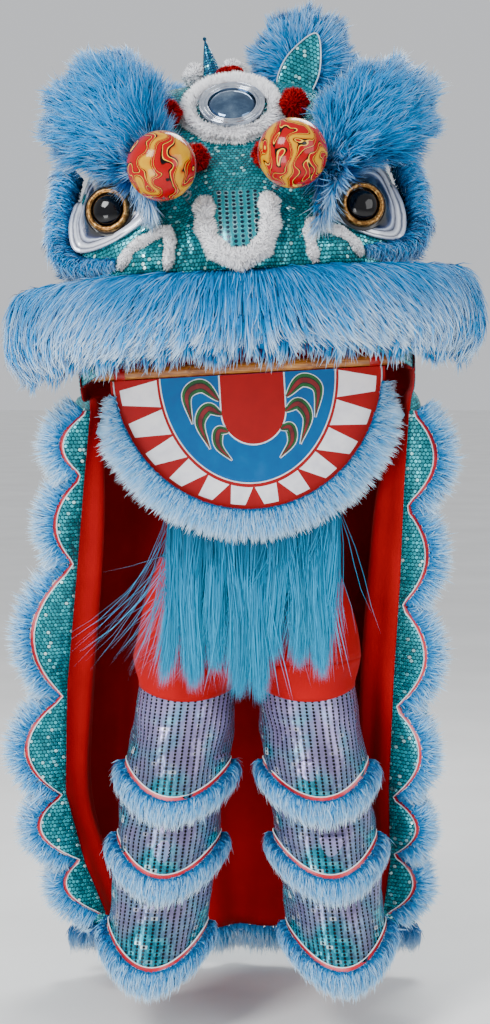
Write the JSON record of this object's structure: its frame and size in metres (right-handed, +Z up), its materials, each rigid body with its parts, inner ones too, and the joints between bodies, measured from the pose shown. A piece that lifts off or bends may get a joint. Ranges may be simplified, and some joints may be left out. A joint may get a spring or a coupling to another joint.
{
  "type": "lion dance costume",
  "caption": "Southern lion dance costume: fur-trimmed head on a bamboo hand bar, hinged jaw with beard, lined sequined cape and tiered trousers.",
  "frame": {"origin": "middle of the bamboo bar across the mouth, where two hands hold the head up", "axes": "+Z up, -Y the way the costume faces, +X to the right as seen from the front; the head is rolled 3.3 degrees about Y with its +X side higher"},
  "size_m": [1.0093, 0.928, 2.1251],
  "materials": {
    "shell_sequins": "teal sequins on cloth",
    "head_fur": "long blue synthetic fur with pale tips",
    "cheek_fur": "pale blue synthetic fur with white tips",
    "beard_hair": "long straight cyan-blue synthetic hair",
    "white_fur": "short white plush",
    "red_fur": "short red plush",
    "eye_panel": "silver and navy painted moulding",
    "eye_ring": "gold coated",
    "eye_dome": "black gloss",
    "mirror_rim": "polished",
    "mirror_glass": "blue-grey domed mirror",
    "flame_ball": "red and yellow flame patches under gloss",
    "spring_steel": "drawn wire",
    "bamboo": "smoked bamboo",
    "jaw_board": "red board with painted teeth, tongue and leaf curls",
    "red_tape": "wound tape",
    "cape_sequins": "teal sequins on cloth",
    "red_lining": "plain red woven cloth",
    "ruffle_fur": "pale blue synthetic fur with white tips",
    "trouser_sequins": "silver-lilac sequins on cloth",
    "trouser_fur": "pale blue synthetic fur with white tips"
  },
  "bodies": {
    "root": {"ball_spring_left": "spring_steel", "ball_spring_right": "spring_steel", "brow_fur_left": "head_fur", "brow_fur_right": "head_fur", "cape": "cape_sequins", "cape_hem_fur": "ruffle_fur", "cape_lining": "red_lining", "cheek_fur_left": "cheek_fur", "cheek_fur_right": "cheek_fur", "ear_fur_left": "head_fur", "ear_fur_right": "head_fur", "ear_left": "shell_sequins", "ear_right": "shell_sequins", "eye_dome_left": "eye_dome", "eye_dome_right": "eye_dome", "eye_panel_left": "eye_panel", "eye_panel_right": "eye_panel", "eye_ring_left": "eye_ring", "eye_ring_right": "eye_ring", "flame_ball_left": "flame_ball", "flame_ball_right": "flame_ball", "head_shell": "shell_sequins", "hip_yoke": "red_lining", "horn": "shell_sequins", "horn_pompom_left": "white_fur", "horn_pompom_right": "white_fur", "leg_fur_left_1": "trouser_fur", "leg_fur_left_2": "trouser_fur", "leg_fur_left_3": "trouser_fur", "leg_fur_right_1": "trouser_fur", "leg_fur_right_2": "trouser_fur", "leg_fur_right_3": "trouser_fur", "leg_tier_left_1": "trouser_sequins", "leg_tier_left_2": "trouser_sequins", "leg_tier_left_3": "trouser_sequins", "leg_tier_right_1": "trouser_sequins", "leg_tier_right_2": "trouser_sequins", "leg_tier_right_3": "trouser_sequins", "mirror_fur": "white_fur", "mirror_glass": "mirror_glass", "mirror_rim": "mirror_rim", "mouth_bar": "bamboo", "nose": "shell_sequins", "nose_fur": "white_fur", "nostril_fur_left": "white_fur", "nostril_fur_right": "white_fur", "red_pompom_1": "red_fur", "red_pompom_2": "red_fur", "red_pompom_3": "red_fur", "red_pompom_4": "red_fur", "ruffle_fur_left": "ruffle_fur", "ruffle_fur_right": "ruffle_fur", "ruffle_left": "cape_sequins", "ruffle_right": "cape_sequins", "upper_lip_fur": "head_fur"},
    "jaw": {"jaw_board": "jaw_board", "jaw_fur": "cheek_fur", "beard": "beard_hair", "jaw_tape_left": "red_tape", "jaw_tape_right": "red_tape"}
  },
  "joints": [
    {"name": "jaw_hinge", "type": "hinge", "parent": "root", "child": "jaw", "pos_m": [0, 0, 0], "axis": [-0.9983, 0, -0.0576], "range_deg": [0, 85]}
  ]
}
